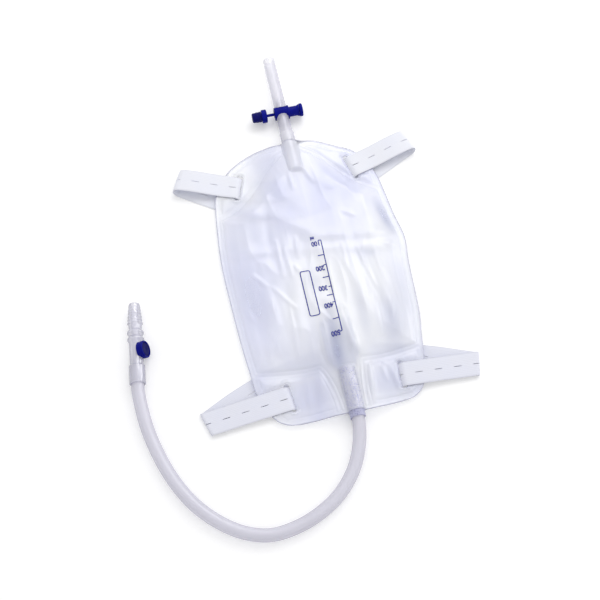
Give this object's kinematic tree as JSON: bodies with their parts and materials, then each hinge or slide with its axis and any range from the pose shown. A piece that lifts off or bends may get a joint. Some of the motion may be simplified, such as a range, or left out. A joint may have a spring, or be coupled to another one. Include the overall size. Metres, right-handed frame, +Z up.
{
  "type": "urine drainage bag",
  "caption": "Clear leg-worn urine drainage bag with domed drain end, blue push-through tap, inlet hose with stepped catheter connector and sampling port, and white elastic straps.",
  "frame": {"origin": "middle of the footprint of bag, tap, tubes and straps, on the surface it lies on; the free hose and its connector are left out of the footprint", "axes": "+Y along the bag from the inlet (flat) end to the drain tap, +X to the right seen from above, +Z up out of the surface"},
  "size_m": [0.2652, 0.4055, 0.0163],
  "materials": {
    "clear_film": "clear flexible PVC film",
    "port_tube": "welded soft PVC tube, lavender tint",
    "clear_tube": "clear PVC tube, glossy",
    "clear_rigid": "clear moulded plastic, glossy",
    "blue_plastic": "moulded, glossy",
    "navy_plastic": "moulded, satin",
    "navy_rubber": "smooth",
    "seal_rubber": "smooth",
    "elastic": "woven white elastic",
    "white_plastic": "moulded, satin"
  },
  "bodies": {
    "bag": {"front_film": "clear_film", "back_film": "clear_film", "valve_back_leaf": "clear_film", "valve_front_leaf": "clear_film", "inlet_port": "port_tube", "outlet_port": "clear_tube", "tap_housing": "blue_plastic", "tap_link_tube": "clear_tube", "tap_inlet_nipple": "clear_rigid", "tap_outlet_nipple": "clear_rigid", "outlet_tube": "clear_tube", "upper_strap": "elastic", "upper_strap_button": "white_plastic", "lower_strap": "elastic", "lower_strap_button": "white_plastic", "inlet_hose": "clear_tube", "connector_body": "clear_rigid", "sample_port_collar": "blue_plastic", "sample_port_septum": "navy_rubber"},
    "plunger": {"tap_plunger": "blue_plastic", "tap_knob": "navy_plastic", "tap_end_button": "blue_plastic", "tap_ring_inner": "seal_rubber", "tap_ring_outer": "seal_rubber", "tap_face_seal": "seal_rubber"}
  },
  "joints": [
    {"name": "tap_slide", "type": "slide", "parent": "bag", "child": "plunger", "axis": [1, 0, 0], "range_m": [0, 0.0063]}
  ]
}
